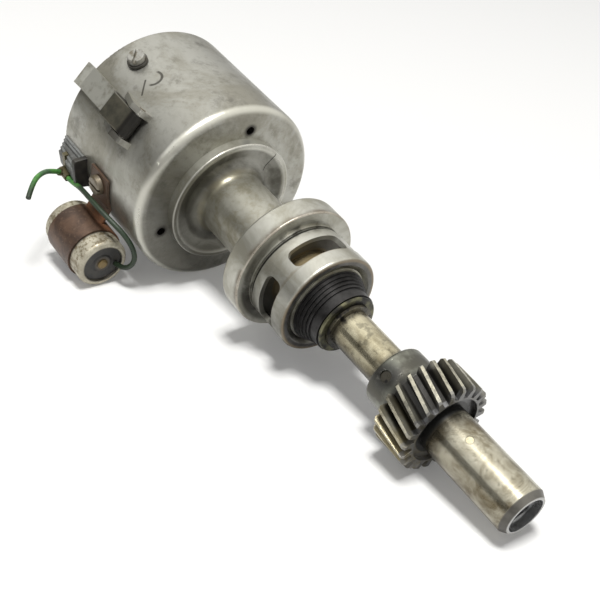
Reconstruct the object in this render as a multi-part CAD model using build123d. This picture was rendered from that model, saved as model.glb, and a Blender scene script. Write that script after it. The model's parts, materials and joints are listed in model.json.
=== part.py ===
"""Ignition distributor of a four-cylinder engine, cap taken off.

Millimetres. +Z runs up the shaft from the drive end to the open mouth of the bowl. The origin is on the
shaft's axis, in the face of the collar that seats on the engine block. +X points at one of the two cap clips.
"""
from build123d import *
import math
import os

# Running and seating clearances, all radial or per face
running = 0.03
seated = 0.02
free = 0.3

# Shank: the casting that goes into the engine block
collar_radius = 23.6
collar_height = 8.9
neck_radius = 12.4
neck_length = 31.2
ring_radius = 24.2
ring_height = 3.8
ring_lip = 1.5
dish_radius = 17.8
dish_depth = 1.9
dish_fillet = 4.6
spigot_radius = 14.0
pilot_radius = 19.0
pilot_length = 19.45
pilot_wall = 2.0
pilot_relief = 0.3
guide_ring_inset = 0.5
undercut_depth = 0.8
undercut_width = 1.4
undercut_land = 0.9
window_top = 6.1
window_height = 7.2
window_count = 4
window_arc = 66.7
window_corner = 2.5
window_turn = 47.0
web_thickness = 2.6
boss_length = 9.15
boss_radius = 11.4
boss_flare = 3.2
boss_steps = 6

# Bowl: the cup that holds the contact breaker
bowl_radius = 36.0
bowl_depth = 54.9
bowl_wall = 2.2
bowl_floor = 2.5
bowl_corner = 3.4
drain_inset = 6.5
drain_radius = 1.6
drain_turn = 63.5
drain_count = 3

# Shaft, bushes and lower journal
shaft_radius = 6.95
bush_wall = 1.65
bush_length = 20.0
flange_radius = 11.0
flange_thickness = 1.25
washer_thickness = 0.8
ring_groove_depth = 0.75
retaining_ring_radius = 8.7
retaining_ring_thickness = 1.2
journal_radius = 8.47
journal_end = 114.9
journal_chamfer = 2.25
journal_chamfer_inset = 1.3
journal_overlap = 16.5
journal_pin_radius = 1.25
journal_pin_rise = 4.3
socket_mouth_radius = 6.34
socket_mouth_depth = 3.0
socket_across_flats = 10.6
socket_depth = 15.0

# Drive gear
gear_top = 65.15
gear_width = 14.35
gear_teeth = 22
gear_tip_radius = 16.6
gear_root_radius = 13.0
gear_twist = 14.0
gear_turn = 9.4
tooth_tip_share = 0.2
tooth_root_share = 0.6
hub_radius = 10.9
hub_length = 11.25
gear_recess_radius = 12.3
gear_recess_depth = 1.6
gear_pin_radius = 2.0
gear_pin_drop = 4.3

# Centrifugal advance
base_radius = 27.5
base_thickness = 2.5
knurl_radius = 5.5
spindle_radius = 4.0
weight_thickness = 5.0
weight_gap = 0.4
weight_inner = 10.5
weight_outer = 25.0
weight_sweep = 120.0
weight_pivot_circle = 20.0
pivot_pin_radius = 2.0
drive_pin_radius = 1.5
drive_pin_circle = 16.96
drive_pin_turn = -100.02
drive_pin_travel = 3.47
foot_thickness = 2.0
foot_slot_gap = 0.3
spring_post_radius = 1.2
spring_post_circle = 24.0
spring_post_turn = 36.0
foot_post_circle = 10.0
foot_post_turn = 100.0
spring_coil_radius = 2.2
spring_wire = 0.9
spring_travel = 2.4
spring_eye_gap = 0.15

# Cam and rotor
cam_sleeve_radius = 6.5
cam_peak_radius = 9.2
cam_flat_radius = 7.8
cam_lobes = 4
lobe_height = 8.0
cam_screw_head_radius = 3.2
cam_screw_head_height = 2.2
rotor_radius = 20.0
rotor_blade_radius = 22.5
rotor_height = 12.0
rotor_skirt_radius = 9.0
rotor_cone_height = 4.0
rotor_arm_width = 12.0
rotor_arm_thickness = 3.5
rotor_turn = 120.0

# Contact breaker
plate_drop = 18.8
plate_thickness = 1.6
plate_hole_radius = 10.6
ear_thickness = 2.2
heel_turn = -100.0
heel_clearance = 0.1
arm_line = 15.5
arm_thickness = 2.0
arm_height = 5.5
arm_lift = 3.4
arm_contact_reach = 17.0
contact_gap = 0.4
contact_radius = 2.0
arm_post_radius = 2.0
arm_boss_radius = 4.0
leaf_thickness = 0.35
leaf_bend = 1.0
leaf_clearance = 0.9
fixed_plate_thickness = 1.2
anchor_inset = 5.95
anchor_turn = 69.0
anchor_radius = 1.4
anchor_eye_gap = 1.0

# Cap clips
clip_width = 9.0
clip_strip = 0.9
clip_wall_gap = 0.3
clip_pin_radius = 1.25
clip_pin_height = 20.3
clip_tongue = 13.8
clip_over_rim = 2.4
lug_thickness = 2.2
lug_rise = 4.9
lug_length = 19.5

# Side screws, terminal and condenser
side_screw_turn = 26.8
side_screw_drop = 11.5
side_screw_radius = 2.0
side_screw_head_radius = 3.15
side_screw_head_height = 2.5
side_washer_radius = 3.8
side_washer_thickness = 0.9
terminal_turn = -46.0
terminal_drop = 6.3
terminal_width = 13.6
terminal_height = 11.0
terminal_rise = 5.0
terminal_depth = 3.2
terminal_neck = 7.6
seal_height = 8.6
condenser_turn = -69.5
condenser_gap = 4.0
condenser_radius = 9.7
condenser_length = 27.8
condenser_drop = 17.9
condenser_strap_width = 16.0
strap_thickness = 0.7
tab_thickness = 0.9
tab_height = 12.0
condenser_screw_turn = -43.0
condenser_screw_drop = 28.8

# Leads
lead_radius = 0.95
lead_route = [
    (23.3, -34.2, 90.8),
    (23.4, -34.1, 86.0),
    (25.2, -32.3, 78.5),
    (26.9, -31.5, 71.0),
    (27.3, -31.2, 63.5),
    (25.6, -31.2, 56.0),
    (21.3, -31.9, 49.6),
    (15.5, -35.1, 46.4),
    (12.4, -39.6, 46.4),
    (11.8, -43.8, 49.6),
    (12.0, -44.6, 54.2),
]
stub_route = [
    (23.4, -34.3, 92.3),
    (30.2, -35.4, 90.8),
    (37.0, -36.4, 86.2),
    (42.4, -38.9, 80.6),
    (44.6, -43.0, 75.0),
]
inner_lead_radius = 0.8
route_wall = 36.0
route_rim = 98.8

# Heights and places that follow from the sizes above
ring_face = collar_height + neck_length
bowl_bottom = ring_face + ring_height
bowl_top = bowl_bottom + bowl_depth
bowl_inside = bowl_bottom + bowl_floor
bowl_bore = bowl_radius - bowl_wall
drain_circle = bowl_bore - drain_inset
seat_step = collar_radius - pilot_radius
swage_top = bowl_inside + 0.8
bush_radius = shaft_radius + bush_wall
boss_end = -pilot_length - boss_length
lower_flange_face = boss_end - flange_thickness
upper_flange_face = swage_top + flange_thickness
base_bottom = upper_flange_face + washer_thickness
base_top = base_bottom + base_thickness
weight_bottom = base_top + weight_gap
weight_top = weight_bottom + weight_thickness
foot_bottom = weight_top + 1.1
foot_top = foot_bottom + foot_thickness
spring_height = foot_top + spring_coil_radius + 0.6
plate_bottom = bowl_top - plate_drop
plate_top = plate_bottom + plate_thickness
lobe_bottom = plate_top + 2.4
lobe_top = lobe_bottom + lobe_height
arm_bottom = plate_top + arm_lift
spindle_top = lobe_top + 4.0
cam_top = spindle_top + cam_screw_head_height + 0.8
rotor_bottom = lobe_top + 1.5
rotor_top = bowl_top + rotor_height - 2.0
gear_bottom = gear_top + gear_width
hub_top = gear_top - hub_length
journal_top = gear_bottom - gear_recess_depth
shaft_end = journal_top + journal_overlap
clip_pin_z = bowl_bottom + clip_pin_height
clip_line = bowl_radius + clip_wall_gap + clip_strip / 2
clip_curl = clip_pin_radius + 0.05 + clip_strip / 2
side_screw_z = bowl_top - side_screw_drop
condenser_top = bowl_top - condenser_drop
condenser_bottom = condenser_top - condenser_length
condenser_screw_z = bowl_top - condenser_screw_drop
terminal_z = bowl_top - terminal_drop
arm_bend = arm_boss_radius + leaf_bend
pivot_circle = bowl_bore - terminal_depth - leaf_clearance - leaf_thickness / 2 - arm_bend
arm_pivot_reach = math.sqrt(pivot_circle ** 2 - arm_line ** 2)
condenser_reach = bowl_radius + condenser_gap + condenser_radius


def turned(outline, rounds=()):
    """Body of revolution about Z. outline: (radius, height) corners; rounds: (radius, height, fillet)."""
    section = make_face(Polyline(*outline, close=True))
    for radius, height, size in rounds:
        corner = section.vertices().sort_by_distance((radius, height))[0]
        section = fillet(corner, size)
    return revolve(Plane.XZ * section, Axis.Z)


def rod(radius, low, high):
    """Solid cylinder on Z between two heights."""
    return Pos(0, 0, low) * extrude(Circle(radius), high - low)


def tube(inner, outer, low, high):
    """Ring on Z between two heights."""
    return Pos(0, 0, low) * extrude(Circle(outer) - Circle(inner), high - low)


def box(x, y, z):
    """Box from three (low, high) pairs."""
    size = [high - low for low, high in (x, y, z)]
    centre = [(high + low) / 2 for low, high in (x, y, z)]
    return Pos(*centre) * Box(*size)


def spoke(radius, low, high, height):
    """Cylinder along +X between two radii at one height."""
    return Pos(low, 0, height) * Rot(0, 90, 0) * extrude(Circle(radius), high - low)


def polar(radius, degrees):
    """Point in plan at a radius and an angle from +X."""
    return radius * math.cos(math.radians(degrees)), radius * math.sin(math.radians(degrees))


def turned_to(degrees, shape):
    """Shape built at +X, turned about Z."""
    return Rot(0, 0, degrees) * shape


def opposite(shape):
    """The shape and its copy half a turn round the shaft."""
    return [shape, Rot(0, 0, 180) * shape]


def shank_body():
    """Ring flange, dished neck, seat collar and windowed pilot sleeve round the shaft's two bushes."""
    dish_floor = ring_face + dish_depth
    lip = ring_radius - ring_lip
    sleeve_bore = pilot_radius - pilot_wall
    web_top = window_top + window_height + 1.6
    relieved = pilot_radius - pilot_relief
    guide_ring_top = -window_top - window_height - guide_ring_inset
    root = boss_radius + boss_flare
    step = (boss_length - 1.6) / boss_steps
    inset = boss_flare / boss_steps
    outline = [
        (bush_radius, swage_top),
        (spigot_radius + 1.2, swage_top),
        (spigot_radius + 1.2, bowl_inside),
        (spigot_radius, bowl_inside),
        (spigot_radius, bowl_bottom),
        (ring_radius, bowl_bottom),
        (ring_radius, ring_face),
        (lip, ring_face),
        (dish_radius, dish_floor),
        (neck_radius, dish_floor),
        (neck_radius, collar_height),
        (collar_radius, collar_height),
        (collar_radius, 0),
        (relieved, 0),
        (relieved, -undercut_land),
        (pilot_radius - undercut_depth, -undercut_land),
        (pilot_radius - undercut_depth, -undercut_land - undercut_width),
        (relieved, -undercut_land - undercut_width),
        (relieved, guide_ring_top),
        (pilot_radius, guide_ring_top),
        (pilot_radius, -pilot_length),
        (sleeve_bore - 0.6, -pilot_length),
        (root, -web_top - web_thickness),
    ]
    for index in range(boss_steps):
        radius = root - inset * index
        height = -web_top - web_thickness - 0.4 - step * (index + 0.55)
        outline += [(radius, height), (radius - inset, height), (radius - inset, height - 0.45 * step)]
    outline += [(boss_radius, boss_end), (bush_radius, boss_end)]
    rounds = [
        (ring_radius, ring_face, 0.5),
        (lip, ring_face, 0.7),
        (dish_radius, dish_floor, 3.0),
        (neck_radius, dish_floor, dish_fillet),
        (neck_radius, collar_height, 2.2),
        (collar_radius, collar_height, 1.0),
        (collar_radius, 0, 0.13 * seat_step),
        (pilot_radius, -pilot_length, 0.9),
        (sleeve_bore - 0.6, -pilot_length, 0.4),
        (spigot_radius + 1.2, swage_top, 0.6),
    ]
    body = turned(outline, rounds)
    body -= tube(boss_radius, sleeve_bore, -web_top, -window_top + 1.6)
    gap = box((sleeve_bore - 3, pilot_radius + 2), (-0.01, 0.01), (-window_top - window_height, -window_top))
    section = gap.faces().sort_by(Axis.Y)[-1]
    window = revolve(section, Axis.Z, window_arc)
    window = turned_to(-window_arc / 2, window)
    ends = [e for e in window.edges().filter_by(GeomType.LINE) if abs((e % 0).Z) < 0.1]
    window = fillet(ends, window_corner)
    for index in range(window_count):
        body -= turned_to(window_turn + index * 360 / window_count, window)
    return body


def bush(flange_face, flange_back, far_end):
    """Flanged bearing bush pressed into the shank."""
    low, high = min(flange_back, far_end), max(flange_back, far_end)
    sleeve = tube(shaft_radius + running, bush_radius, low, high)
    flange = tube(shaft_radius + running, flange_radius, min(flange_face, flange_back),
                  max(flange_face, flange_back))
    outer = flange.edges().filter_by(GeomType.CIRCLE).sort_by(SortBy.RADIUS)[-2:]
    return sleeve + chamfer(outer, 0.3)


def clip_lugs():
    """Two lugs raised on the bowl's wall beside one clip, joined by the clip's pin."""
    root = bowl_radius - bowl_wall / 2 - 0.3
    top = bowl_radius + lug_rise
    low = clip_pin_z - 3.4
    side = make_face(Polyline((root, low), (top - 0.6, low + 1.4), (top, low + 7.0), (root, low + lug_length),
                              close=True))
    side = fillet(side.vertices().sort_by(Axis.X)[-2:], 1.2)
    near = clip_width / 2 + 0.35
    lug = extrude(Plane.XZ * side, lug_thickness)
    across = Pos(bowl_radius + clip_wall_gap + clip_curl + clip_strip / 2, 0, clip_pin_z) * Rot(90, 0, 0)
    hole = across * Cylinder(clip_pin_radius, 4 * clip_width)
    return [Pos(0, side_y, 0) * lug - hole for side_y in (-near, near + lug_thickness)]


def bowl_housing():
    """Round-cornered cup with drain holes, clip lugs, tapped holes and the terminal's slot in its rim."""
    outline = [
        (spigot_radius, bowl_bottom),
        (bowl_radius, bowl_bottom),
        (bowl_radius, bowl_top),
        (bowl_bore, bowl_top),
        (bowl_bore, bowl_inside),
        (spigot_radius, bowl_inside),
    ]
    rounds = [
        (bowl_radius, bowl_bottom, bowl_corner),
        (bowl_bore, bowl_inside, bowl_corner - bowl_wall / 2),
        (bowl_radius, bowl_top, 0.5),
        (bowl_bore, bowl_top, 0.3),
    ]
    cup = turned(outline, rounds)
    for turn in (0, 180):
        for lug in clip_lugs():
            cup += turned_to(turn, lug)
    for index in range(drain_count):
        drain = Pos(drain_circle, 0, 0) * rod(drain_radius, bowl_bottom - 1, bowl_inside + 1)
        cup -= turned_to(drain_turn + index * 360 / drain_count, drain)
    screw_hole = spoke(side_screw_radius + running, bowl_bore - 1, bowl_radius + 1, side_screw_z)
    for turn in (side_screw_turn, side_screw_turn + 180):
        cup -= turned_to(turn, screw_hole)
    tapping = spoke(side_screw_radius + running, bowl_bore - 1, bowl_radius + 1, condenser_screw_z)
    cup -= turned_to(condenser_screw_turn, tapping)
    low = terminal_z - terminal_height / 2 - seal_height + 3.0
    slot = box((bowl_bore - 4, bowl_radius + 4), (-terminal_neck / 2 - seated, terminal_neck / 2 + seated),
               (low, bowl_top + 1))
    return cup - turned_to(terminal_turn, slot)


def drive_shaft():
    """Main shaft with its retaining groove, the knurled seat of the advance base and the thin spindle."""
    body = rod(shaft_radius, -shaft_end, base_bottom)
    body += rod(knurl_radius, base_bottom, base_top)
    body += rod(spindle_radius, base_top, spindle_top)
    groove_top = lower_flange_face - 0.2
    groove = tube(shaft_radius - ring_groove_depth, shaft_radius + 1,
                  groove_top - retaining_ring_thickness - 2 * seated, groove_top)
    body -= groove
    body -= rod(1.6, spindle_top - 9, spindle_top + 1)
    body -= Pos(0, 0, -hub_top - gear_pin_drop) * Rot(0, 90, 0) * Cylinder(gear_pin_radius, 4 * shaft_radius)
    pin_height = -shaft_end + journal_pin_rise
    cross = turned_to(33.5, spoke(journal_pin_radius, -2 * shaft_radius, 2 * shaft_radius, pin_height))
    return body - cross


def retaining_ring():
    """Open spring ring in the shaft's groove under the lower bush."""
    top = lower_flange_face - 0.2 - seated
    inner = shaft_radius - ring_groove_depth + seated
    ring = tube(inner, retaining_ring_radius, top - retaining_ring_thickness, top)
    mouth = box((0, 2 * retaining_ring_radius), (-2.4, 2.4), (top - 2 * retaining_ring_thickness, top + 1))
    return ring - turned_to(205, mouth)


def gear_section(turn):
    """Outline of the teeth at one station, a little proud of the tip circle."""
    pitch = 360 / gear_teeth
    proud = gear_tip_radius + 0.4
    points = []
    for index in range(gear_teeth):
        middle = turn + index * pitch
        for radius, share in ((gear_root_radius, -tooth_root_share), (proud, -tooth_tip_share),
                              (proud, tooth_tip_share), (gear_root_radius, tooth_root_share)):
            points.append(polar(radius, middle + share * pitch / 2))
    return make_face(Polyline(*points, close=True))


def drive_gear():
    """Right-handed helical gear with its hub in one piece, cross-drilled for the pin."""
    stations = 5
    sections = []
    for index in range(stations):
        part_way = index / (stations - 1)
        height = -gear_bottom + part_way * gear_width
        sections.append(Pos(0, 0, height) * gear_section(gear_turn + part_way * gear_twist))
    teeth = loft(sections, ruled=True)
    blank = turned([
        (shaft_radius + running, -gear_bottom),
        (gear_tip_radius - 0.7, -gear_bottom),
        (gear_tip_radius, -gear_bottom + 0.7),
        (gear_tip_radius, -gear_top - 0.7),
        (gear_tip_radius - 0.7, -gear_top),
        (shaft_radius + running, -gear_top),
    ])
    hub = turned([
        (shaft_radius + running, -gear_top - 1),
        (hub_radius, -gear_top - 1),
        (hub_radius, -hub_top),
        (shaft_radius + running, -hub_top),
    ], [(hub_radius, -hub_top, 1.1)])
    gear = (teeth & blank) + hub
    gear -= rod(gear_recess_radius, -gear_bottom - 1, -gear_bottom + gear_recess_depth)
    gear -= Pos(0, 0, -hub_top - gear_pin_drop) * Rot(0, 90, 0) * Cylinder(gear_pin_radius, 4 * hub_radius)
    return gear


def gear_pin():
    """Cross pin through hub and shaft, its ends a little below the hub's skin."""
    return Pos(0, 0, -hub_top - gear_pin_drop) * Rot(0, 90, 0) * Cylinder(
        gear_pin_radius - seated, 2 * (hub_radius - 0.6))


def lower_journal():
    """Tube over the shaft's lower end that runs in the block and drives the oil pump through a hexagon."""
    end = -journal_end
    hexagon_top = end + socket_mouth_depth + socket_depth
    body = turned([
        (0, end),
        (journal_radius - journal_chamfer_inset, end),
        (journal_radius, end + journal_chamfer),
        (journal_radius, -journal_top),
        (0, -journal_top),
    ])
    body -= rod(shaft_radius + seated, -shaft_end - 0.3, -journal_top + 1)
    body -= rod(socket_mouth_radius, end - 1, end + socket_mouth_depth)
    hexagon = RegularPolygon(socket_across_flats / 2, 6, major_radius=False)
    body -= Pos(0, 0, end) * extrude(hexagon, hexagon_top - end)
    pin_height = -shaft_end + journal_pin_rise
    return body - turned_to(33.5, spoke(journal_pin_radius, -2 * journal_radius, 2 * journal_radius, pin_height))


def journal_pin():
    """Cross pin that keeps the lower journal on the shaft, ground flush."""
    reach = math.sqrt(journal_radius ** 2 - journal_pin_radius ** 2) - 0.05
    return turned_to(33.5, spoke(journal_pin_radius - seated, -reach, reach, -shaft_end + journal_pin_rise))


def advance_base():
    """Disc pressed on the shaft with the posts of the weights' springs."""
    plate = tube(knurl_radius + seated, base_radius, base_bottom, base_top)
    for turn in (0, 180):
        x, y = polar(spring_post_circle, spring_post_turn + turn)
        plate += Pos(x, y, 0) * rod(spring_post_radius, base_top - 1, spring_height + 1.5)
        x, y = polar(weight_pivot_circle, turn)
        plate -= Pos(x, y, 0) * rod(pivot_pin_radius, base_bottom - 1, base_top + 1)
    return chamfer(plate.faces().sort_by(Axis.Z)[0].edges().sort_by(SortBy.RADIUS)[-1], 0.4)


def pivot_pins():
    """Riveted pins that the two weights swing on."""
    pin = Pos(weight_pivot_circle, 0, 0) * rod(pivot_pin_radius - seated, base_bottom, weight_top + 0.6)
    return opposite(pin)


def flyweight():
    """Curved weight that swings out on its pivot pin and turns the cam foot with its drive pin."""
    ring = Circle(weight_outer) - Circle(weight_inner)
    reach = 2 * weight_outer
    sector = Polyline((0, 0), (reach, 0), polar(reach, -40), polar(reach, -80), polar(reach, -weight_sweep),
                      close=True)
    plan = ring & make_face(sector)
    plan += Pos(weight_pivot_circle, 0) * Circle((weight_outer - weight_inner) / 2 - 2.2)
    plan = fillet(plan.vertices().sort_by(Axis.X)[:2], 2.5)
    weight = Pos(0, 0, weight_bottom) * extrude(plan, weight_thickness)
    weight -= Pos(weight_pivot_circle, 0, 0) * rod(pivot_pin_radius + running, weight_bottom - 1, weight_top + 1)
    x, y = polar(drive_pin_circle, drive_pin_turn)
    return weight + Pos(x, y, 0) * rod(drive_pin_radius, weight_top - 1, foot_top + 0.3)


def advance_spring():
    """Close-wound spring from a base post to a post on the cam foot, its far eye long enough for the travel."""
    start = Vector(*polar(spring_post_circle, spring_post_turn))
    finish = Vector(*polar(foot_post_circle, foot_post_turn))
    span = (finish - start).length
    lean = math.degrees(math.atan2(finish.Y - start.Y, finish.X - start.X))
    eye = spring_post_radius + spring_eye_gap
    long_eye = eye + 0.2
    first = Circle(eye + spring_wire) - Circle(eye)
    slot = SlotOverall(2 * long_eye + spring_travel, 2 * long_eye)
    rim = SlotOverall(2 * (long_eye + spring_wire) + spring_travel, 2 * (long_eye + spring_wire))
    last = Pos(span + spring_travel / 2 - 0.1, 0) * (rim - slot)
    eyes = Pos(0, 0, -spring_wire / 2) * extrude(first + last, spring_wire)
    low, high = eye + spring_wire - 0.2, span - long_eye - spring_wire
    turns = int((high - low - 3.0) / spring_wire)
    coil_start = (low + high - turns * spring_wire) / 2
    outline = [(low, 0), (low, spring_wire / 2), (coil_start, spring_wire / 2)]
    for index in range(turns):
        along = coil_start + index * spring_wire
        outline += [(along, spring_coil_radius - 0.3), (along + spring_wire / 2, spring_coil_radius)]
    outline += [(coil_start + turns * spring_wire, spring_coil_radius - 0.3),
                (coil_start + turns * spring_wire, spring_wire / 2), (high, spring_wire / 2), (high, 0)]
    coil = revolve(make_face(Polyline(*outline, close=True)), Axis.X)
    return Pos(start.X, start.Y, spring_height) * Rot(0, 0, lean) * (eyes + coil)


def cam_section():
    """Square cam with its corners on the peak circle."""
    flats = RegularPolygon(cam_flat_radius, cam_lobes, major_radius=False)
    return Rot(0, 0, heel_turn + 180 / cam_lobes) * flats & Circle(cam_peak_radius)


def cam():
    """Cam sleeve that turns on the spindle, its slotted foot driven by the weights' pins."""
    bore = spindle_radius + running
    arm_reach = drive_pin_circle + drive_pin_travel + drive_pin_radius + foot_slot_gap + 2.2
    foot = Circle(foot_post_circle + 3.0)
    arms = Rot(0, 0, drive_pin_turn) * (SlotOverall(2 * arm_reach, 9.0))
    foot += arms
    half = drive_pin_radius + foot_slot_gap
    slot_length = drive_pin_travel + 2 * half
    for turn in (0, 180):
        middle = polar(drive_pin_circle + drive_pin_travel / 2, drive_pin_turn + turn)
        foot -= Pos(*middle) * Rot(0, 0, drive_pin_turn) * SlotOverall(slot_length, 2 * half)
    body = Pos(0, 0, foot_bottom) * extrude(foot, foot_thickness)
    body += rod(cam_sleeve_radius, base_top + 0.2, cam_top)
    body += Pos(0, 0, lobe_bottom) * extrude(cam_section(), lobe_height)
    for turn in (0, 180):
        x, y = polar(foot_post_circle, foot_post_turn + turn)
        body += Pos(x, y, 0) * rod(spring_post_radius, foot_top - 1, spring_height + 1.5)
    body -= rod(bore, base_top - 1, spindle_top)
    body -= rod(cam_screw_head_radius + free, spindle_top, cam_top + 1)
    return body


def cam_screw():
    """Slotted screw that keeps the cam on the spindle."""
    head = rod(cam_screw_head_radius, spindle_top + seated, spindle_top + cam_screw_head_height)
    head -= box((-5, 5), (-0.4, 0.4), (spindle_top + cam_screw_head_height - 0.9, cam_top + 1))
    return head + rod(1.6 - seated, spindle_top - 7.5, spindle_top + 1)


def rotor_body():
    """Moulded rotor arm on the cam's nose."""
    shoulder = rotor_top - rotor_cone_height
    arm_low = shoulder - rotor_arm_thickness
    skirt = rod(rotor_skirt_radius, rotor_bottom, shoulder)
    arm = SlotOverall(2 * rotor_radius, rotor_arm_width) & Pos(rotor_radius, 0) * Rectangle(
        2 * rotor_radius, 2 * rotor_arm_width)
    body = skirt + Pos(0, 0, arm_low) * extrude(arm, rotor_arm_thickness)
    body += turned([(0, arm_low), (rotor_skirt_radius, arm_low), (rotor_skirt_radius, shoulder),
                    (rotor_skirt_radius * 2 / 3, rotor_top), (0, rotor_top)])
    body -= rod(cam_sleeve_radius + running, rotor_bottom - 1, cam_top + 0.2)
    body -= box((3.0, rotor_radius + 2), (-2.6, 2.6), (rotor_top - 4.8, rotor_top + 1))
    body -= rod(3.2, rotor_top - 2.5, rotor_top + 1)
    body -= box((0, rotor_radius + 2), (-2.6, 2.6), (rotor_top - 2.5, rotor_top + 1))
    return turned_to(rotor_turn, body)


def rotor_blade():
    """Brass strip from the rotor's centre button to its tip."""
    low = rotor_top - 4.8 + seated
    strip = box((3.0 + free, rotor_blade_radius), (-2.5, 2.5), (low, low + 1.2))
    strip = fillet(strip.edges().filter_by(Axis.Z).sort_by(Axis.X)[-2:], 2.0)
    strip += box((3.0 + free, 4.5), (-2.5, 2.5), (low, rotor_top - 1.5))
    button = rod(3.0, rotor_top - 2.5 + seated, rotor_top - 0.4)
    button += box((0, 4.5), (-2.5, 2.5), (rotor_top - 2.5 + seated, rotor_top - 1.5))
    return turned_to(rotor_turn, strip + button)


def breaker_frame(shape):
    """Places a piece built with +X out through the heel and +Y along the arm."""
    return turned_to(heel_turn, shape)


def breaker_plate():
    """Disc across the bowl with two upturned ears for the side screws and the posts of the breaker."""
    plate = tube(plate_hole_radius, bowl_bore - free, plate_bottom, plate_top)
    ear_out = bowl_bore - free
    ear_top = side_screw_z + 4.2
    for turn in (side_screw_turn, side_screw_turn + 180):
        ear = box((ear_out - ear_thickness, ear_out), (-4.5, 4.5), (plate_bottom, ear_top))
        ear = fillet(ear.edges().filter_by(Axis.X).sort_by(Axis.Z)[-2:], 3.0)
        ear &= rod(bowl_bore - free, plate_bottom - 1, ear_top + 1)
        ear -= spoke(side_screw_radius + running, ear_out - 5, ear_out + 2, side_screw_z)
        plate += turned_to(turn, ear)
    post = Pos(arm_line, arm_pivot_reach, 0) * rod(arm_post_radius, plate_top - 1, arm_bottom + arm_height + 1.0)
    return plate + breaker_frame(post)


def fixed_contact():
    """Slotted bracket with the earthed contact, held on the plate by the lock screw."""
    face = arm_line - arm_thickness / 2 - 0.5 - contact_gap
    low, high = plate_top + seated, plate_top + fixed_plate_thickness
    base = box((face - 8, face + 9), (-arm_contact_reach - 8, -arm_contact_reach + 9), (low, high))
    base = fillet(base.edges().filter_by(Axis.Z), 2.0)
    base &= rod(bowl_bore - free - ear_thickness - free, low - 1, high + 1)
    stand = box((face - 2.1, face - 0.7), (-arm_contact_reach - 3, -arm_contact_reach + 3),
                (low, arm_bottom + arm_height))
    pip = Pos(0, -arm_contact_reach, 0) * spoke(contact_radius, face - 1.2, face, arm_bottom + arm_height / 2)
    screw_hole = Pos(face + 5.6, -arm_contact_reach + 6, 0) * rod(1.6, low - 1, high + 1)
    return breaker_frame(base + stand + pip - screw_hole)


def lock_screw():
    """Cheese-head screw through the fixed contact's bracket."""
    face = arm_line - arm_thickness / 2 - 0.5 - contact_gap
    top = plate_top + fixed_plate_thickness + seated
    head = rod(2.8, top, top + 1.6) - box((-4, 4), (-0.4, 0.4), (top + 0.9, top + 3))
    shank = rod(1.6 - seated, plate_top + seated, top + 0.5)
    return breaker_frame(Pos(face + 5.6, -arm_contact_reach + 6, 0) * (head + shank))


def breaker_arm():
    """Sprung arm with its contact, swinging on the plate's post."""
    inner, outer = arm_line - arm_thickness / 2, arm_line + arm_thickness / 2
    bar = box((inner, outer), (-arm_contact_reach - 3, arm_pivot_reach), (arm_bottom, arm_bottom + arm_height))
    boss = Pos(arm_line, arm_pivot_reach, 0) * rod(arm_boss_radius, arm_bottom, arm_bottom + arm_height)
    pip = Pos(0, -arm_contact_reach, 0) * spoke(contact_radius, inner - 0.5, inner + 0.5,
                                                arm_bottom + arm_height / 2)
    bore = Pos(arm_line, arm_pivot_reach, 0) * rod(arm_post_radius + running, arm_bottom - 1,
                                                   arm_bottom + arm_height + 1)
    return breaker_frame(bar + boss + pip - bore)


def arm_heel():
    """Fibre heel riveted to the arm, its nose just clear of the lobe."""
    nose = cam_peak_radius + heel_clearance
    heel = box((nose, arm_line - arm_thickness / 2 - seated), (-2.0, 2.0),
               (arm_bottom + 0.4, arm_bottom + arm_height - 0.4))
    return breaker_frame(fillet(heel.edges().filter_by(Axis.Z).sort_by(Axis.X)[:2], 1.4))


def arm_spring():
    """Leaf spring riveted to the arm's back, its eye loose round the anchor post."""
    back = arm_line + arm_thickness / 2 + seated + leaf_thickness / 2
    eye = anchor_radius + anchor_eye_gap
    low, high = arm_bottom + 0.7, arm_bottom + arm_height - 0.7
    anchor_x, anchor_y = polar(bowl_bore - anchor_inset, anchor_turn)
    far = arm_pivot_reach + arm_bend
    across, along = arm_line - anchor_x, far - anchor_y
    share = (eye + leaf_thickness / 2) / math.hypot(across, along)
    start = 8 - arm_contact_reach
    lift = start + 0.63 * (arm_pivot_reach - start)
    leaf = Polyline((back, start), (back, lift), (arm_line + arm_bend, arm_pivot_reach))
    leaf += ThreePointArc((arm_line + arm_bend, arm_pivot_reach),
                          (arm_line + arm_bend * math.sqrt(0.5), arm_pivot_reach + arm_bend * math.sqrt(0.5)),
                          (arm_line, far))
    leaf += Line((arm_line, far), (anchor_x + across * share, anchor_y + along * share))
    strip = trace(leaf, leaf_thickness)
    ring = Pos(anchor_x, anchor_y) * (Circle(eye + leaf_thickness) - Circle(eye))
    return breaker_frame(Pos(0, 0, low) * extrude(strip + ring, high - low))


def spring_anchor_post():
    """Insulated post that the leaf spring and the inner lead end on."""
    x, y = polar(bowl_bore - anchor_inset, anchor_turn)
    post = rod(anchor_radius, plate_top + seated, arm_bottom + arm_height + 1.2)
    foot = rod(anchor_radius + 1.4, plate_top + seated, arm_bottom - 0.5)
    return breaker_frame(Pos(x, y, 0) * (post + foot))


def side_screw():
    """Cheese-head screw through the bowl's wall into an ear of the breaker plate."""
    seat = bowl_radius + side_washer_thickness + 0.25
    head = spoke(side_screw_head_radius, seat, seat + side_screw_head_height, side_screw_z)
    slot = box((seat + side_screw_head_height - 1.1, seat + side_screw_head_height + 1),
               (-0.45, 0.45), (side_screw_z - 5, side_screw_z + 5))
    slot = Pos(0, 0, side_screw_z) * Rot(-42, 0, 0) * Pos(0, 0, -side_screw_z) * slot
    head = chamfer(head.edges().filter_by(GeomType.CIRCLE).sort_by(Axis.X)[-1], 0.35)
    shank = spoke(side_screw_radius - seated, bowl_bore - free - 3.0, seat + 0.5, side_screw_z)
    return (head - slot) + shank


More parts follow.
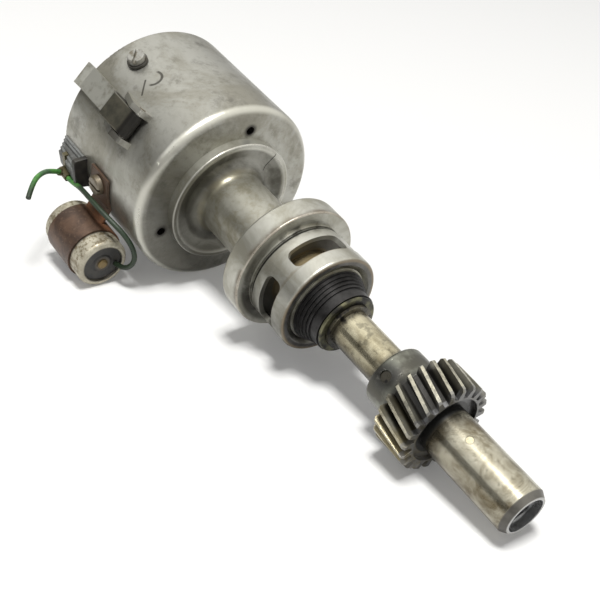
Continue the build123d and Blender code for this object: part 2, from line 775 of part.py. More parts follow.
def side_washer():
    """Spring washer under a side screw's head."""
    seat = bowl_radius + 0.22
    return spoke(side_washer_radius, seat, seat + side_washer_thickness, side_screw_z) - spoke(
        side_screw_radius + 0.1, seat - 1, seat + 3, side_screw_z)


def cap_clip():
    """Spring clip: a leaf up the wall that turns round the pin and comes back up as a short tongue."""
    inner_x = clip_line
    outer_x = clip_line + 2 * clip_curl
    tip = bowl_top + clip_over_rim
    path = Polyline((inner_x + 0.9, tip), (inner_x, tip - 3.2), (inner_x, clip_pin_z))
    path += ThreePointArc((inner_x, clip_pin_z), (inner_x + clip_curl, clip_pin_z - clip_curl),
                          (outer_x, clip_pin_z))
    path += Line((outer_x, clip_pin_z), (outer_x, clip_pin_z + clip_tongue))
    side = trace(path, clip_strip)
    return Pos(0, clip_width / 2, 0) * extrude(Plane.XZ * side, clip_width)


def clip_pin():
    """Pin across a pair of lugs."""
    length = clip_width + 2 * (0.35 + lug_thickness) + 0.6
    return Pos(clip_line + clip_curl, 0, clip_pin_z) * Rot(90, 0, 0) * Cylinder(clip_pin_radius - seated / 2, length)


def terminal_block():
    """Grey moulded block in the rim's slot: stepped boss outside, retaining flange inside."""
    half = terminal_width / 2
    low, high = terminal_z - terminal_height / 2, terminal_z + terminal_height / 2
    skin = bowl_radius + 0.05
    flange = box((skin - 0.9, bowl_radius + 2.6), (-half, half), (low, high))
    boss = box((skin, bowl_radius + terminal_rise), (-half + 1.6, half - 3.0), (low + 0.8, high - 1.2))
    boss = fillet(boss.edges().filter_by(Axis.X), 1.4)
    boss = chamfer(boss.faces().sort_by(Axis.X)[-1].edges(), 0.8)
    flange = fillet(flange.edges().filter_by(Axis.X), 1.2)
    outside = (flange + boss) - rod(skin, low - 1, high + 1)
    neck = box((bowl_bore - terminal_depth / 2, skin + 1), (-terminal_neck / 2, terminal_neck / 2), (low, high))
    inside = box((bowl_bore - terminal_depth, bowl_bore), (-half + 1, half - 1), (low, high - 1.5))
    inside &= rod(bowl_bore - 0.08, low - 1, high + 1)
    return turned_to(terminal_turn, outside + neck + inside - terminal_strap(seated))


def terminal_strap(grown):
    """Straight strap of the tag through the block and along its outer face; grown: extra on every side."""
    middle = bowl_radius + 3.7
    inward = box((bowl_bore - terminal_depth - 1.4 - grown, middle + 0.4 + grown), (-1.0 - grown, 1.0 + grown),
                 (terminal_z - 1.0 - grown, terminal_z + 1.0 + grown))
    side = terminal_side() - grown
    return inward + box((middle - grown, middle + 0.4 + grown), (side, 1.0 + grown),
                        (terminal_z - 1.0 - grown, terminal_z + 1.0 + grown))


def terminal_side():
    """Side of the block's boss that the tag lies on."""
    return -terminal_width / 2 + 1.6


def terminal_seal():
    """Black insulating step below the terminal block."""
    half = terminal_width / 2
    high = terminal_z - terminal_height / 2 - seated
    low = high - seal_height
    skin = bowl_radius + 0.05
    body = box((skin - 1.2, bowl_radius + 3.0), (-half, half), (low, high))
    body = fillet(body.edges().filter_by(Axis.X).sort_by(Axis.Z)[:2], 1.5)
    outside = body - rod(skin, low - 1, high + 1)
    neck = box((bowl_bore, skin + 1), (-terminal_neck / 2, terminal_neck / 2), (low + 3.0 + 2 * seated, high))
    return turned_to(terminal_turn, outside + neck)


def terminal_tag():
    """Brass tag at the side of the terminal block where both leads are crimped."""
    side = terminal_side() - seated
    middle = bowl_radius + 3.7
    plate = box((middle - 0.6, middle + 2.2), (side - 0.9, side), (terminal_z - 4.4, terminal_z + 1.2))
    plate = fillet(plate.edges().filter_by(Axis.Y), 0.5)
    tag = turned_to(terminal_turn, plate + terminal_strap(0))
    x, y, top = laid(lead_route)[0]
    barrel = Pos(x, y, 0) * tube(lead_radius, lead_radius + 0.5, top - 2.4, top)
    start, toward = [Vector(*point) for point in laid(stub_route)[:2]]
    along = Plane(origin=start, z_dir=toward - start)
    return tag + barrel + along * extrude(Circle(lead_radius + 0.5) - Circle(lead_radius), 2.2)


def condenser_centre():
    """Plan position of the condenser's axis."""
    return polar(condenser_reach, condenser_turn)


def condenser_can():
    """Drawn can, its lower end rolled in over the insulating disc."""
    x, y = condenser_centre()
    can = turned([
        (0, condenser_bottom + 2.0),
        (condenser_radius - 2.4, condenser_bottom + 2.0),
        (condenser_radius - 2.4, condenser_bottom),
        (condenser_radius, condenser_bottom),
        (condenser_radius, condenser_top),
        (0, condenser_top),
    ], [
        (condenser_radius, condenser_bottom, 1.6),
        (condenser_radius - 2.4, condenser_bottom, 0.3),
        (condenser_radius, condenser_top, 1.8),
    ])
    return Pos(x, y, 0) * can


def condenser_insulator():
    """Insulating disc in the mouth of the can."""
    x, y = condenser_centre()
    radius = condenser_radius - 2.4 - seated
    return Pos(x, y, 0) * turned([
        (0, condenser_bottom + 0.6),
        (3.2, condenser_bottom + 0.6),
        (3.8, condenser_bottom + 1.0),
        (radius, condenser_bottom + 0.8),
        (radius, condenser_bottom + 2.0 - seated),
        (0, condenser_bottom + 2.0 - seated),
    ])


def condenser_contact():
    """Brass rivet in the insulating disc that the lead's core is soldered to."""
    x, y = condenser_centre()
    rivet = turned([(0, condenser_bottom - 0.2), (1.2, condenser_bottom - 0.2), (1.9, condenser_bottom + 0.2),
                    (1.9, condenser_bottom + 0.6 - seated), (0, condenser_bottom + 0.6 - seated)])
    return Pos(x, y, 0) * rivet


def condenser_strap():
    """Clamp strap round the can with the tab that lies on the bowl."""
    x, y = condenser_centre()
    middle = condenser_screw_z - 1.8
    ring = Pos(x, y) * (Circle(condenser_radius + seated + strap_thickness) - Circle(condenser_radius + seated))
    band = Pos(0, 0, middle - condenser_strap_width / 2) * extrude(ring, condenser_strap_width)
    tab_line = bowl_radius + 0.25 + tab_thickness / 2
    first = polar(tab_line, condenser_screw_turn + 7.5)
    centre = polar(tab_line, condenser_screw_turn - 3)
    last = polar(tab_line, condenser_screw_turn - 13)
    inward = Vector(x - last[0], y - last[1]).normalized()
    reach = condenser_radius + seated + strap_thickness / 2
    end = (x - inward.X * reach, y - inward.Y * reach)
    path = ThreePointArc(first, centre, last) + Line(last, end)
    tab = Pos(0, 0, condenser_screw_z - tab_height / 2) * extrude(trace(path, tab_thickness), tab_height)
    tab -= Pos(x, y, 0) * rod(condenser_radius + seated, condenser_bottom, condenser_top)
    hole = spoke(side_screw_radius + 0.1, bowl_radius - 1, bowl_radius + 3, condenser_screw_z)
    return band + tab - turned_to(condenser_screw_turn, hole)


def condenser_screw():
    """Screw that holds the strap's tab to the bowl."""
    seat = bowl_radius + 0.25 + tab_thickness + 0.12
    head = spoke(3.7, seat, seat + 2.3, condenser_screw_z)
    head = chamfer(head.edges().filter_by(GeomType.CIRCLE).sort_by(Axis.X)[-1], 0.5)
    head -= box((seat + 1.3, seat + 4), (-0.5, 0.5), (condenser_screw_z - 5, condenser_screw_z + 5))
    shank = spoke(side_screw_radius - seated, bowl_bore - 0.5, seat + 0.5, condenser_screw_z)
    return turned_to(condenser_screw_turn, head + shank)


def laid(route):
    """Route points moved with the bowl's wall and rim when those differ from the ones the routes were laid for."""
    points = []
    for x, y, z in route:
        away = math.hypot(x, y)
        share = (away + bowl_radius - route_wall) / away
        points.append((x * share, y * share, z + bowl_top - route_rim))
    return points


def corner_radii(route, least):
    """Fillet radius of each inner point of a route: 0.45 of the shorter run over tan(half the turn)."""
    points = [Vector(*p) for p in route]
    radii = []
    for before, here, after in zip(points, points[1:], points[2:]):
        turn = (here - before).get_angle(after - here)
        shorter = min((here - before).length, (after - here).length)
        radii.append(min(0.45 * shorter / math.tan(math.radians(turn / 2)), 400))
    print("route radii", [round(r, 1) for r in radii], "least allowed", least)
    return radii


def lead(route, radius):
    """Round lead along straight runs and tangent arcs."""
    path = FilletPolyline(*route, radius=corner_radii(route, 3 * 2 * radius))
    start = Plane(origin=path @ 0, z_dir=path % 0)
    tube_solid = sweep(start * Circle(radius), path=path)
    print("length", round(path.length, 1), "volume ratio",
          round(tube_solid.volume / (path.length * math.pi * radius ** 2), 4))
    return tube_solid


def inner_route():
    """Route of the inner lead from the terminal's inner end to the spring's anchor post."""
    post_x, post_y = polar(bowl_bore - anchor_inset, anchor_turn + heel_turn)
    start = polar(bowl_bore - terminal_depth - 1.6, terminal_turn)
    top = arm_bottom + arm_height + 1.2 + inner_lead_radius - 0.1
    middle = ((start[0] + post_x) / 2 - 0.9, (start[1] + post_y) / 2 + 0.2, terminal_z + 0.7)
    return [(start[0], start[1], terminal_z), middle, (post_x, post_y, top)]


def build():
    """Every node by name."""
    nodes = {
        "shank_body": shank_body(),
        "bowl_housing": bowl_housing(),
        "upper_bush": bush(upper_flange_face, swage_top, swage_top - bush_length),
        "lower_bush": bush(lower_flange_face, boss_end, boss_end + bush_length),
        "thrust_washer": tube(shaft_radius + 0.15, flange_radius - 0.5, upper_flange_face + seated / 2,
                              base_bottom - seated / 2),
        "drive_shaft": drive_shaft(),
        "retaining_ring": retaining_ring(),
        "drive_gear": drive_gear(),
        "gear_pin": gear_pin(),
        "lower_journal": lower_journal(),
        "journal_pin": journal_pin(),
        "advance_base": advance_base(),
        "pivot_pins": pivot_pins(),
        "flyweight_1": flyweight(),
        "flyweight_2": Rot(0, 0, 180) * flyweight(),
        "advance_springs": opposite(advance_spring()),
        "cam": cam(),
        "cam_screw": cam_screw(),
        "rotor_body": rotor_body(),
        "rotor_blade": rotor_blade(),
        "breaker_plate": breaker_plate(),
        "fixed_contact": fixed_contact(),
        "lock_screw": lock_screw(),
        "breaker_arm": breaker_arm(),
        "arm_heel": arm_heel(),
        "arm_spring": arm_spring(),
        "spring_anchor_post": spring_anchor_post(),
        "side_screws": [turned_to(side_screw_turn + turn, side_screw()) for turn in (0, 180)],
        "side_washers": [turned_to(side_screw_turn + turn, side_washer()) for turn in (0, 180)],
        "cap_clip_1": cap_clip(),
        "cap_clip_2": Rot(0, 0, 180) * cap_clip(),
        "clip_pins": opposite(clip_pin()),
        "terminal_block": terminal_block(),
        "terminal_seal": terminal_seal(),
        "terminal_tag": terminal_tag(),
        "condenser_can": condenser_can(),
        "condenser_insulator": condenser_insulator(),
        "condenser_contact": condenser_contact(),
        "condenser_strap": condenser_strap(),
        "condenser_screw": condenser_screw(),
        "condenser_lead": lead(laid(lead_route), lead_radius),
        "lead_stub": lead(laid(stub_route), lead_radius),
        "inner_lead": lead(inner_route(), inner_lead_radius),
    }
    return nodes


def write(nodes):
    """One STEP file for each node."""
    os.makedirs("parts", exist_ok=True)
    for name, shape in nodes.items():
        whole = Compound(children=list(shape)) if isinstance(shape, list) else shape
        export_step(whole, f"parts/{name}.step")


if __name__ == "__main__":
    write(build())
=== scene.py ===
import json
import math
import bpy
import bmesh
from mathutils import Matrix, Vector


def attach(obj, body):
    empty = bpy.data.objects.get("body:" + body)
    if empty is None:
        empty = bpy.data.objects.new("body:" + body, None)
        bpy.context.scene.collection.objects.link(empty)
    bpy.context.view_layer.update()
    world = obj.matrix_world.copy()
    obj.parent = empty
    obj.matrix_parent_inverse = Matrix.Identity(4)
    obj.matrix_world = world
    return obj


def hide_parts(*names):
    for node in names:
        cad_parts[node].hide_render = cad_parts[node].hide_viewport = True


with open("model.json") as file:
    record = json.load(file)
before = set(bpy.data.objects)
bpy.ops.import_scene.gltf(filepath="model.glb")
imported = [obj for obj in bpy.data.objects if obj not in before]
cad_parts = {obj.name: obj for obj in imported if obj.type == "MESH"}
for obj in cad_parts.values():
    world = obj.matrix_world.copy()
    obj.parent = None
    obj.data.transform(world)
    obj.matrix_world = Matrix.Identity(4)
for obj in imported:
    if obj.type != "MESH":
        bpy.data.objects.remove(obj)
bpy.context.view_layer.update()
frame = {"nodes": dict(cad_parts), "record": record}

# Lengths are in metres and angles in degrees, except where a comment says otherwise. Z runs along the shaft,
# with the bowl's mouth at the top and the seat's face at 0.


# ---------------------------------------------------------------- camera

FOCAL_LENGTH_MM, SENSOR_MM = 65.92, 36
right = Vector((-0.5166, 0.6409, -0.5677)).normalized()
down = Vector((-0.2461, -0.7462, -0.6185))
ahead = right.cross(down).normalized()
down = ahead.cross(right)
eye = Vector((0.30129, 0.06021, -0.20911))

lens = bpy.data.cameras.new("camera")
lens.sensor_width = SENSOR_MM
lens.lens = FOCAL_LENGTH_MM
lens.clip_start = 0.01
lens.clip_end = 20
camera = bpy.data.objects.new("camera", lens)
bpy.context.scene.collection.objects.link(camera)
camera.matrix_world = Matrix.Translation(eye) @ Matrix((right, -down, -ahead)).transposed().to_4x4()
bpy.context.scene.camera = camera


# ---------------------------------------------------------------- shader words

class Value:
    """A socket of a node tree; arithmetic on it adds the Math nodes."""

    def __init__(self, nodes, socket):
        self.nodes = nodes
        self.socket = socket

    def _math(self, operation, first, second=None, clamp=False):
        terms = {0: first} if second is None else {0: first, 1: second}
        return self.nodes.node("ShaderNodeMath", {"operation": operation, "use_clamp": clamp}, terms)

    def __add__(self, other):
        return self._math("ADD", self, other)

    def __radd__(self, other):
        return self._math("ADD", other, self)

    def __sub__(self, other):
        return self._math("SUBTRACT", self, other)

    def __rsub__(self, other):
        return self._math("SUBTRACT", other, self)

    def __mul__(self, other):
        return self._math("MULTIPLY", self, other)

    def __rmul__(self, other):
        return self._math("MULTIPLY", other, self)

    def __truediv__(self, other):
        return self._math("DIVIDE", self, other)

    def __pow__(self, other):
        return self._math("POWER", self, other)

    def __abs__(self):
        return self._math("ABSOLUTE", self)

    def held(self):
        """Kept between 0 and 1."""
        return self._math("ADD", self, 0.0, clamp=True)

    def most(self, other):
        return self._math("MAXIMUM", self, other)

    def rise(self, low, high):
        """0 at low, 1 at high, smooth between; high may be below low."""
        return self.nodes.node("ShaderNodeMapRange", {"interpolation_type": "SMOOTHSTEP"},
                               {"Value": self, "From Min": low, "From Max": high})

    def bell(self, middle, half):
        """1 at the middle, 0 at half away on both sides."""
        return abs(self - middle).rise(half, 0.0)


class Nodes:
    """A node tree, of which one method makes every node."""

    def __init__(self, tree):
        self.tree = tree

    def node(self, kind, settings=None, inputs=None, out=0):
        """Any node: its settings first, then values or links of its sockets; out picks its output."""
        made = self.tree.nodes.new(kind)
        for name, value in (settings or {}).items():
            setattr(made, name, value)
        for slot, value in (inputs or {}).items():
            socket = made.inputs[slot]
            if isinstance(value, Value):
                self.tree.links.new(value.socket, socket)
            elif isinstance(value, tuple) and len(socket.default_value) == 4:
                socket.default_value = (*value, 1.0)
            else:
                socket.default_value = value
        return Value(self, made.outputs[out])

    def ray(self, kind):
        """1 for rays of one kind: Camera, Glossy or Transmission."""
        return self.node("ShaderNodeLightPath", out=f"Is {kind} Ray")

    def show(self, end, surface):
        """Links the finished shader to the node that ends the tree."""
        self.tree.links.new(surface.socket, self.tree.nodes[end].inputs["Surface"])


class Finish(Nodes):
    """One material, on the Object coordinates of the piece."""

    def __init__(self, name):
        self.material = bpy.data.materials.new(name)
        self.material.use_nodes = True
        super().__init__(self.material.node_tree)
        self.shader = self.tree.nodes["Principled BSDF"]
        self.place = self.node("ShaderNodeTexCoord", out="Object")
        split = self.node("ShaderNodeSeparateXYZ", inputs={0: self.place}).socket.node
        self.x, self.y, self.z = (Value(self, split.outputs[i]) for i in range(3))
        self.away = (self.x * self.x + self.y * self.y) ** 0.5
        bearing = self.node("ShaderNodeMath", {"operation": "ARCTAN2"}, {0: self.y, 1: self.x})
        self.turn = bearing * (180 / math.pi)
        self.base = None

    def stretched(self, scale):
        """The place with each axis scaled, for streaks along the other axes."""
        return self.node("ShaderNodeMapping", None, {"Vector": self.place, "Scale": scale})

    def wrapped(self, around, along):
        """A place unrolled round Z: around per degree, along per metre of height."""
        return self.node("ShaderNodeCombineXYZ", None,
                         {0: self.turn * around, 1: self.z * along, 2: self.away * along})

    def noise(self, scale, detail=4.0, rough=0.55, bend=0.0, place=None):
        return self.node("ShaderNodeTexNoise", None,
                         {"Vector": place or self.place, "Scale": scale, "Detail": detail,
                          "Roughness": rough, "Distortion": bend})

    def mix(self, share, first, second):
        return self.node("ShaderNodeMix", {"data_type": "RGBA", "blend_type": "MIX"},
                         {0: share, 6: first, 7: second}, out=2)

    def ground(self, share, first, second):
        """The colour that all others are laid over."""
        self.base = self.mix(share, first, second)

    def over(self, mask, colour):
        """Lays a colour over what is there, as strong as the mask."""
        self.base = self.mix(mask, self.base, colour)

    def gap(self, place, point):
        """The distance between a place and a point."""
        return self.node("ShaderNodeVectorMath", {"operation": "DISTANCE"}, {0: place, 1: point}, out=1)

    def spot(self, point, size, soft):
        """1 near a point, fading from soft times size out to size."""
        return self.gap(self.place, point).rise(size, size * soft)

    def stroke(self, start, end, width):
        """1 along a scratch on the bowl's wall, its ends given as (turn, height)."""
        arc = WALL_RADIUS * math.pi / 180
        u0, v0, u1, v1 = start[0] * arc, start[1], end[0] * arc, end[1]
        du, dv = u1 - u0, v1 - v0
        u, v = self.turn * arc - u0, self.z - v0
        share = ((u * du + v * dv) / (du * du + dv * dv)).held()
        off_line = ((u - share * du) ** 2 + (v - share * dv) ** 2) ** 0.5
        return off_line.rise(width, width * 0.3)

    def bump(self, height, depth, strength):
        return self.node("ShaderNodeBump", None, {"Height": height, "Distance": depth, "Strength": strength})

    def wear(self, roughness, normal, metallic=0.0):
        """Links the colour and the rest of the surface to the shader."""
        sockets = {"Base Color": self.base, "Roughness": roughness, "Metallic": metallic, "Normal": normal}
        for name, value in sockets.items():
            if isinstance(value, Value):
                self.tree.links.new(value.socket, self.shader.inputs[name])
            else:
                self.shader.inputs[name].default_value = value
        return self.material


# ---------------------------------------------------------------- leads

SLEEVED_RADIUS, INNER_RADIUS = 0.00095, 0.0008


def lead(name, route, radius, body, node):
    """Round lead on a smooth line through its route, in the place of its solid.

    The radius is given to the points and the bevel is 1, because Blender widens a curve's box by the radius of
    its points.
    """
    line = bpy.data.curves.new(name, "CURVE")
    line.dimensions = "3D"
    line.bevel_depth = 1.0
    line.bevel_resolution = 5
    line.use_fill_caps = True
    run = line.splines.new("NURBS")
    run.points.add(len(route) - 1)
    for point, place in zip(run.points, route):
        point.co = (*place, 1.0)
        point.radius = radius
    run.order_u = 3
    run.use_endpoint_u = True
    run.resolution_u = 10
    run.use_smooth = True
    piece = bpy.data.objects.new(name, line)
    bpy.context.scene.collection.objects.link(piece)
    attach(piece, body)
    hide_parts(node)
    return piece


condenser_lead = lead("condenser_lead_sleeved", [
    (0.0233, -0.0342, 0.0908), (0.0234, -0.0341, 0.0860), (0.0252, -0.0323, 0.0785), (0.0269, -0.0315, 0.0710),
    (0.0273, -0.0312, 0.0635), (0.0256, -0.0312, 0.0560), (0.0213, -0.0319, 0.0496), (0.0155, -0.0351, 0.0464),
    (0.0124, -0.0396, 0.0464), (0.0118, -0.0438, 0.0496), (0.0120, -0.0446, 0.0542)],
    SLEEVED_RADIUS, "housing", "condenser_lead")

lead_stub = lead("coil_lead_stub", [
    (0.0234, -0.0343, 0.0923), (0.0302, -0.0354, 0.0908), (0.0370, -0.0364, 0.0862), (0.0424, -0.0389, 0.0806),
    (0.0446, -0.0430, 0.0750)], SLEEVED_RADIUS, "housing", "lead_stub")

inner_lead = lead("inner_lead_sleeved", [
    (0.02015, -0.02086, 0.0925), (0.02111, -0.01741, 0.0932), (0.02387, -0.01436, 0.0924)],
    INNER_RADIUS, "housing", "inner_lead")


# ---------------------------------------------------------------- terminal

TERMINAL_TURN = -49.0
BLOCK_LOW, BLOCK_HIGH = 0.0836, 0.0980
INNER_HALF_LOW, INNER_HALF_HIGH = 0.0870, 0.0965
PLATE_LOW, PLATE_HIGH = 0.0812, 0.0833
BLOCK_EDGE, PLATE_EDGE = 0.00016, 0.0003
BLOCK_FLARE, FLARE_FROM = 0.0013, 0.0375


def raised(outline, low, high, edge, flare=0.0):
    """Upright block from a plan outline in mm, its edges rounded; flare: how much its foot stands out more."""
    form = bmesh.new()
    foot = form.faces.new([form.verts.new((x / 1000, y / 1000, low)) for x, y in outline])
    grown = bmesh.ops.extrude_face_region(form, geom=[foot])
    top = [v for v in grown["geom"] if isinstance(v, bmesh.types.BMVert)]
    bmesh.ops.translate(form, verts=top, vec=(0, 0, high - low))
    for vert in form.verts:
        if vert.co.x > FLARE_FROM and vert.co.z < (low + high) / 2:
            vert.co.x += flare
    bmesh.ops.bevel(form, geom=form.edges[:], affect="EDGES", offset=edge, segments=2, profile=0.5, material=-1)
    return form


def joined(form, other):
    """The first form with the other one beside it."""
    loose = bpy.data.meshes.new("loose")
    other.to_mesh(loose)
    other.free()
    form.from_mesh(loose)
    bpy.data.meshes.remove(loose)
    return form


def terminal_piece(name, form, node):
    """Finished piece of the terminal from a form built with +X outwards, in the place of its solid."""
    bmesh.ops.rotate(form, verts=form.verts, matrix=Matrix.Rotation(math.radians(TERMINAL_TURN), 3, "Z"))
    bmesh.ops.recalc_face_normals(form, faces=form.faces)
    mesh = bpy.data.meshes.new(name)
    form.to_mesh(mesh)
    form.free()
    piece = bpy.data.objects.new(name, mesh)
    bpy.context.scene.collection.objects.link(piece)
    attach(piece, "housing")
    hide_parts(node)
    return piece


ribbed_outline = [(35.0, -6.4), (38.3, -6.3), (39.4, -4.9), (39.5, 0.9), (38.6, 1.2), (38.6, 2.3), (37.7, 2.6),
                  (37.7, 3.7), (36.9, 4.0), (36.9, 5.1), (36.2, 5.4), (36.2, 6.4), (35.0, 6.4)]
inner_outline = [(30.6, -1.8), (36.0, -1.8), (36.0, 5.3), (30.6, 5.3)]
plate_outline = [(35.2, -6.2), (41.0, -4.6), (41.3, -3.0), (40.9, 6.8), (40.2, 7.6), (35.2, 7.0)]
terminal_block = terminal_piece(
    "ribbed_terminal",
    joined(raised(ribbed_outline, BLOCK_LOW, BLOCK_HIGH, BLOCK_EDGE, BLOCK_FLARE),
           raised(inner_outline, INNER_HALF_LOW, INNER_HALF_HIGH, PLATE_EDGE)),
    "terminal_block")
terminal_plate = terminal_piece("terminal_insulating_plate",
                                raised(plate_outline, PLATE_LOW, PLATE_HIGH, PLATE_EDGE),
                                "terminal_seal")


# ---------------------------------------------------------------- finishes

WALL_RADIUS = 0.036
WALL_ARC = 0.000628             # length of a degree round the bowl's wall
DRAIN_CIRCLE = 0.0273           # radius on which the drain holes lie
DRAIN_ARC = 0.000476            # length of a degree round that circle
FIRST_DRAIN, HALF_DRAIN_PITCH = 63.5, 60.0
MARK_TURN, MARK_HEIGHT, MARK_RADIUS = 26.6, 0.0765, 0.0033
SCREW_ON_WALL = (0.0267, -0.0249, 0.070)
SCREW_HEAD = (0.0290, -0.0271, 0.070)
CAN_X, CAN_Y = 0.017406, -0.046554
DISC_HEIGHT = 0.0537
STRAP_LOW, STRAP_HIGH = 0.0602, 0.0762
GEAR_PIN_HEIGHT = -0.0582
JOURNAL_PIN = (0.00706, 0.00467, -0.0901)


def bowl_alloy():
    """Worn bare alloy: brushed round the wall, brown oil clouds, scratches, rust under the terminal; painted shade
    on the end face's lower-left side and on one side of the lugs, painted highlight on the corner and on the lugs'
    other side.
    """
    f = Finish("bowl_alloy")
    clouds = f.noise(30, detail=7, rough=0.66, bend=0.6)
    blotch = f.noise(85, detail=6, rough=0.65)
    grime = f.noise(19, detail=5, rough=0.6, bend=0.3)
    brushed = f.noise(1.0, detail=4, rough=0.7, place=f.wrapped(0.5, 2600))
    scratch = f.noise(1.0, detail=2, rough=0.5, place=f.wrapped(9.0, 260)).rise(0.66, 0.74)
    mottle = f.noise(260, detail=5, rough=0.7)
    bare, thin_oil, thick_oil = (0.43, 0.425, 0.385), (0.215, 0.20, 0.15), (0.055, 0.048, 0.034)
    f.ground(clouds.rise(0.40, 0.62) * 0.72, bare, thin_oil)
    f.over(blotch.rise(0.54, 0.72) * 0.55, thick_oil)
    f.over(grime.rise(0.50, 0.66) * 0.35, (0.115, 0.105, 0.075))
    f.over(brushed.rise(0.35, 0.75) * 0.14, (0.40, 0.395, 0.37))
    f.over(mottle.rise(0.48, 0.68) * 0.3, (0.12, 0.112, 0.085))

    shaded_end, polish_and_highlight = (0.070, 0.067, 0.055), (0.62, 0.61, 0.54)
    lit_lug, lug_painted_shade = (0.40, 0.39, 0.34), (0.06, 0.055, 0.045)
    # Painted shade: the end face darker on its lower-left side.
    end_face = f.z.rise(0.0462, 0.0445)
    f.over(end_face * f.turn.bell(-85, 125) * 0.85, shaded_end)
    # Painted highlight along the rounded corner, over its polish.
    corner = f.away.rise(0.0335, 0.0352) * f.z.rise(0.0475, 0.0455)
    f.over(corner * 0.7, polish_and_highlight)
    # Painted light on the lugs: highlight where y is above 0, shade where it is below.
    lug = f.away.rise(0.0380, 0.0396) * f.z.rise(0.0600, 0.0640)
    f.over(lug * f.y.rise(0.0, 0.001) * 0.7, lit_lug)
    f.over(lug * f.y.rise(0.001, 0.0) * 0.7, lug_painted_shade)

    rust_brown, clip_dirt, scored = (0.075, 0.035, 0.016), (0.035, 0.031, 0.024), (0.03, 0.026, 0.02)
    hole_dark, inside_oil = (0.02, 0.018, 0.015), (0.16, 0.145, 0.11)
    under_terminal = f.turn.bell(-48, 14) * f.z.rise(0.094, 0.084) * f.z.rise(0.058, 0.074)
    round_screw = f.spot(SCREW_ON_WALL, 0.011, 0.2)
    rust = (under_terminal.most(round_screw) * f.noise(180, detail=5).rise(0.38, 0.62)).held()
    f.over(rust * 0.9, rust_brown)
    behind_clip = f.turn.bell(0, 11) * f.z.bell(0.0665, 0.013)
    f.over(behind_clip * blotch.rise(0.25, 0.6) * 0.85, clip_dirt)
    across, upward = (f.turn - MARK_TURN) * WALL_ARC, f.z - MARK_HEIGHT
    ring = abs(across ** 2 + upward ** 2 - MARK_RADIUS ** 2).rise(4.6e-6, 1.6e-6)
    scratches = ring * (across * 0.7 - upward).rise(-0.0006, 0.0010)
    scratches = scratches.most(f.stroke((22.6, 0.0776), (15.5, 0.0729), 0.0005))
    f.over(scratches * 0.8, scored)
    from_drain = f.node("ShaderNodeMath", {"operation": "WRAP"},
                        {0: f.turn - FIRST_DRAIN, 1: HALF_DRAIN_PITCH, 2: -HALF_DRAIN_PITCH})
    hole = ((from_drain * DRAIN_ARC) ** 2 + (f.away - DRAIN_CIRCLE) ** 2) ** 0.5
    f.over(hole.rise(0.0032, 0.0016) * f.z.rise(0.048, 0.046) * 0.8, hole_dark)
    inside = f.away.rise(0.0349, 0.0339) * f.z.rise(0.0462, 0.0466)
    f.over(inside * 0.45, inside_oil)

    relief = brushed * 0.4 + clouds * 1.2 + scratch * 0.5 + f.noise(700, detail=3) * 0.6
    return f.wear(roughness=0.25 + clouds * 0.20 + rust * 0.25 + scratch * 0.1 - corner * 0.06,
                  metallic=0.78 - rust * 0.5 - clouds.rise(0.5, 0.7) * 0.2,
                  normal=f.bump(relief, 0.00006, 0.7))


